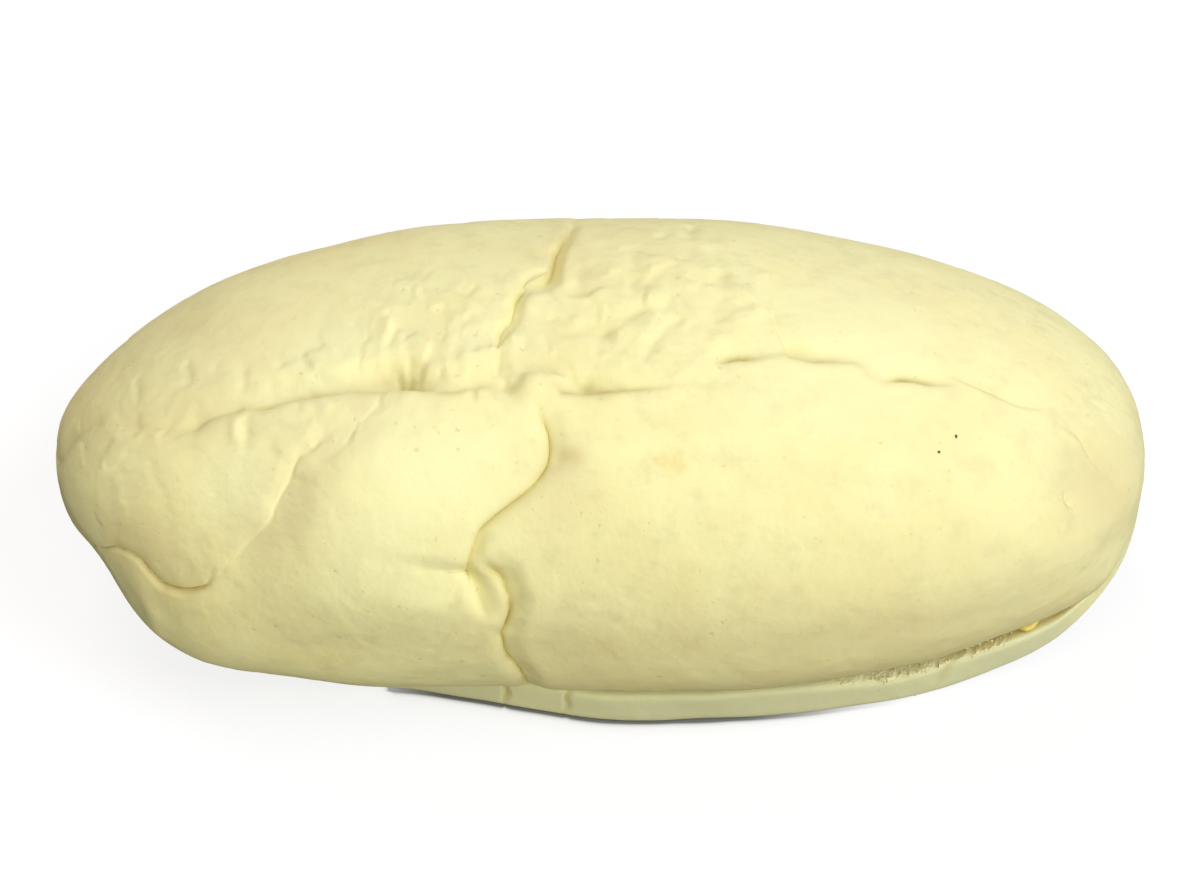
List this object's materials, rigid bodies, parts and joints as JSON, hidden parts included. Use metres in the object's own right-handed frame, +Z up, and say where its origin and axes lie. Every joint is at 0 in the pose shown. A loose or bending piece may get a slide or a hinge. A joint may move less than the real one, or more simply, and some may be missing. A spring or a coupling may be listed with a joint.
{
  "type": "cream-filled bread roll",
  "caption": "Soft pale oval milk bread roll with a folded, creased skin, slit low along its front and filled with a thin layer of custard cream.",
  "frame": {"origin": "middle of the roll's bounding box, on the surface that its flat underside rests on", "axes": "+X along the roll to the right as seen from the slit, +Y from the slit to the uncut back, +Z up"},
  "size_m": [0.13, 0.0594, 0.0418],
  "materials": {
    "bread": "soft matt unbrowned crust, pale creamy yellow, with fine pores",
    "cream": "smooth moist custard cream, yellow"
  },
  "bodies": {
    "root": {"bread_roll": "bread", "cream_filling": "cream"}
  },
  "joints": []
}
